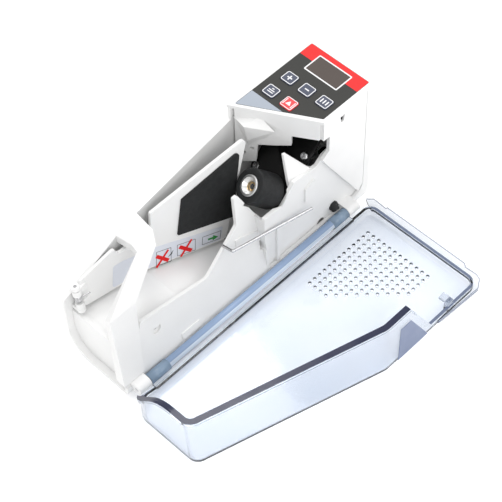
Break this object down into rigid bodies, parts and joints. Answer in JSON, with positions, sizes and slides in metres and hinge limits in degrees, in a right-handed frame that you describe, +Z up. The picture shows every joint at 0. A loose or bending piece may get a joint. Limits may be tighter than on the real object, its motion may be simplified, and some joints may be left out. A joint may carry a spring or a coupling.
{
  "type": "banknote counting machine",
  "caption": "Portable note counter: white case with keypad head, open hopper, sprung pressing plate, rubber feed roller and a clear hinged cover with vent holes.",
  "frame": {"origin": "on the flat underside of the case, 111.5 mm from its left end and 30 mm back from the hinge axis", "axes": "+X along the cover hinge towards the display end, +Y from the cover towards the back wall, +Z up"},
  "size_m": [0.236, 0.1646, 0.1129],
  "materials": {
    "white_plastic": "fine moulded texture, slightly satin",
    "clear_cover": "clear blue-grey moulded plastic, polished",
    "black_rubber": "matt rubber",
    "black_plastic": "matt moulded",
    "steel": "turned and plated",
    "brass": "turned",
    "overlay": "printed polyester film, satin gloss",
    "key_dark": "printed polyester dome key",
    "key_red": "printed polyester dome key",
    "smoked_window": "smoked display window",
    "label": "printed film label",
    "board": "solder-masked circuit board",
    "cell": "sleeved battery cell",
    "belt": "flat rubber belt"
  },
  "bodies": {
    "case": {"rear_shell": "white_plastic", "front_chassis": "white_plastic", "bridge_bar": "white_plastic", "control_housing": "white_plastic", "keypad_overlay": "overlay", "display_window": "smoked_window", "led_display": "black_plastic", "main_board": "board", "board_screws": "steel", "tact_switches": "black_plastic", "hinge_pins": "steel", "bumper_stud": "black_rubber", "guide_wire": "steel", "plate_pivot_pin": "steel", "pivot_lugs": "white_plastic", "drive_belt": "belt", "belt_cover": "black_plastic", "drive_plate": "black_plastic", "drive_screws": "steel", "spindle_bush": "brass", "drive_motor": "steel", "motor_cap": "black_plastic", "battery_tray": "black_plastic", "battery_cells": "cell", "battery_contacts": "steel", "case_screws": "steel", "dc_jack": "black_plastic", "note_sensors": "black_plastic"},
    "cover": {"cover": "clear_cover"},
    "plate": {"pressing_plate": "white_plastic", "plate_pad": "black_rubber", "usage_label": "label", "plate_spring": "steel"},
    "roller": {"feed_roller_tyre": "black_rubber", "feed_roller_hub": "steel", "feed_roller_nut": "brass", "roller_spindle": "steel", "roller_pulley": "black_plastic"},
    "rotor": {"motor_pulley": "black_plastic", "motor_shaft": "steel"},
    "battery_door": {"battery_door": "white_plastic"},
    "key_plus": {"key_plus": "key_dark"},
    "key_minus": {"key_minus": "key_dark"},
    "key_batch": {"key_batch": "key_dark"},
    "key_add": {"key_add": "key_dark"},
    "key_start": {"key_start": "key_red"}
  },
  "joints": [
    {"name": "cover_hinge", "type": "hinge", "parent": "case", "child": "cover", "pos_m": [0, -0.03, 0.008], "axis": [-1, 0, 0], "range_deg": [0, 90]},
    {"name": "plate_swing", "type": "hinge", "parent": "case", "child": "plate", "pos_m": [-0.1034, 0.0216, 0.041], "axis": [0, 0.1414, 0.9899], "range_deg": [0, 5], "stiffness_Nm_per_rad": 0.2, "springref_deg": -11.46},
    {"name": "roller_spin", "type": "hinge", "parent": "case", "child": "roller", "pos_m": [0.021, -0.005, 0.075], "axis": [0.6767, -0.2289, -0.6997], "continuous": true},
    {"name": "motor_spin", "type": "hinge", "parent": "case", "child": "rotor", "pos_m": [0.05493, 0.00874, 0.06902], "axis": [0.6767, -0.2289, -0.6997], "continuous": true},
    {"name": "battery_door_hinge", "type": "hinge", "parent": "case", "child": "battery_door", "pos_m": [-0.089, -0.0035, 0], "axis": [0, 1, 0], "range_deg": [0, 75]},
    {"name": "key_plus_press", "type": "slide", "parent": "case", "child": "key_plus", "axis": [0, 0, -1], "range_m": [0, 0.0006], "stiffness_N_per_m": 800},
    {"name": "key_minus_press", "type": "slide", "parent": "case", "child": "key_minus", "axis": [0, 0, -1], "range_m": [0, 0.0006], "stiffness_N_per_m": 800},
    {"name": "key_batch_press", "type": "slide", "parent": "case", "child": "key_batch", "axis": [0, 0, -1], "range_m": [0, 0.0006], "stiffness_N_per_m": 800},
    {"name": "key_add_press", "type": "slide", "parent": "case", "child": "key_add", "axis": [0, 0, -1], "range_m": [0, 0.0006], "stiffness_N_per_m": 800},
    {"name": "key_start_press", "type": "slide", "parent": "case", "child": "key_start", "axis": [0, 0, -1], "range_m": [0, 0.0006], "stiffness_N_per_m": 800}
  ],
  "couplings": [
    {"joint": "motor_spin", "follows": "roller_spin", "ratio": 2}
  ]
}
